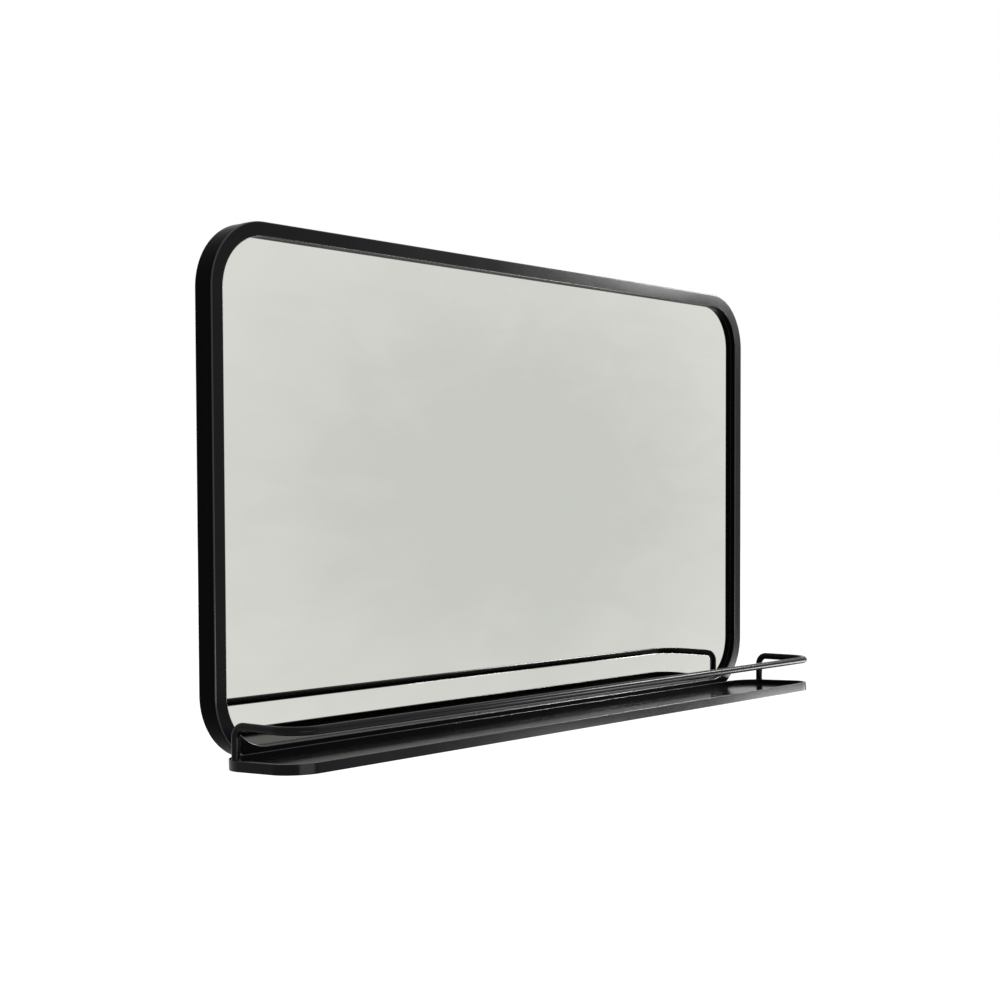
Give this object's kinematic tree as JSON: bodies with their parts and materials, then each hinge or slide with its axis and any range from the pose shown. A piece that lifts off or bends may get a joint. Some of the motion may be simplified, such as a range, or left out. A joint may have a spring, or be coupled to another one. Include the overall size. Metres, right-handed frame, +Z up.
{
  "type": "mirror with shelf",
  "caption": "Wide wall mirror in a slim black steel frame with round corners; a shallow tray shelf with a raised guard rail runs along its lower edge.",
  "frame": {"origin": "on the wall plane, midway between the centres of the two hanging holes in the back", "axes": "+X to the right as seen by a person facing the mirror, +Y from the face of the mirror into the wall, +Z up"},
  "size_m": [0.912, 0.131, 0.501],
  "materials": {
    "frame_paint": "black powder coat, semi-gloss",
    "shelf_paint": "black powder coat, semi-gloss",
    "silvered_glass": "clear float glass, silvered on the back, polished edge",
    "tape_foam": "closed-cell foam tape",
    "sheet_foam": "white foam sheet",
    "hardboard": "smooth brown hardboard",
    "zinc_screws": "zinc-plated"
  },
  "bodies": {
    "root": {"front_ring": "frame_paint", "rear_band": "frame_paint", "glazing_tape": "tape_foam", "mirror_glass": "silvered_glass", "foam_backing": "sheet_foam", "back_board": "hardboard", "board_lugs": "frame_paint", "board_screws": "zinc_screws", "hanger_left": "frame_paint", "hanger_right": "frame_paint", "tray_floor": "shelf_paint", "tray_rim": "shelf_paint", "guard_rail": "shelf_paint"}
  },
  "joints": []
}
